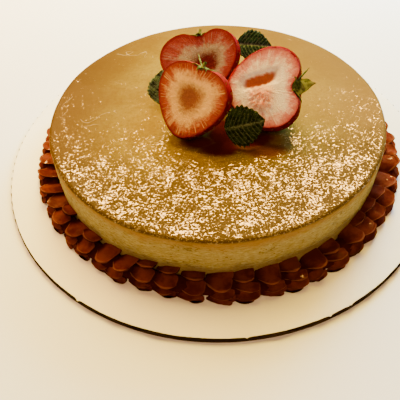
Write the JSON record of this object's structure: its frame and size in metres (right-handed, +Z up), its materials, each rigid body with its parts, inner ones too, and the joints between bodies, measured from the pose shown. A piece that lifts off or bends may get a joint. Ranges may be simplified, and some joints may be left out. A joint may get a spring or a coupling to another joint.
{
  "type": "leche flan cake",
  "caption": "Round caramel-topped custard flan on a card cake board, with a piped dulce de leche border and strawberry halves and mint leaves on top.",
  "frame": {"origin": "middle of the underside of the cake board, on the table", "axes": "+Z up, square to the board; -Y is the front, the side the cut faces of the fruit look towards; +X is to the right seen from the front"},
  "size_m": [0.3048, 0.3048, 0.0843],
  "materials": {
    "board": "white coated card, slightly glossy",
    "flan": "caramel-soaked custard with a wet gloss",
    "dulce_de_leche": "glossy piped paste",
    "strawberry": "moist cut fruit, glossy red skin",
    "crown": "dull green sepals",
    "mint": "dull veined leaf"
  },
  "bodies": {
    "root": {"cake_board": "board", "flan": "flan", "piped_border": "dulce_de_leche", "strawberry_front": "strawberry", "strawberry_right": "strawberry", "strawberry_back": "strawberry", "crown_front": "crown", "crown_right": "crown", "crown_back": "crown", "mint_leaf_front": "mint", "mint_leaf_back": "mint", "mint_leaf_left": "mint"}
  },
  "joints": []
}
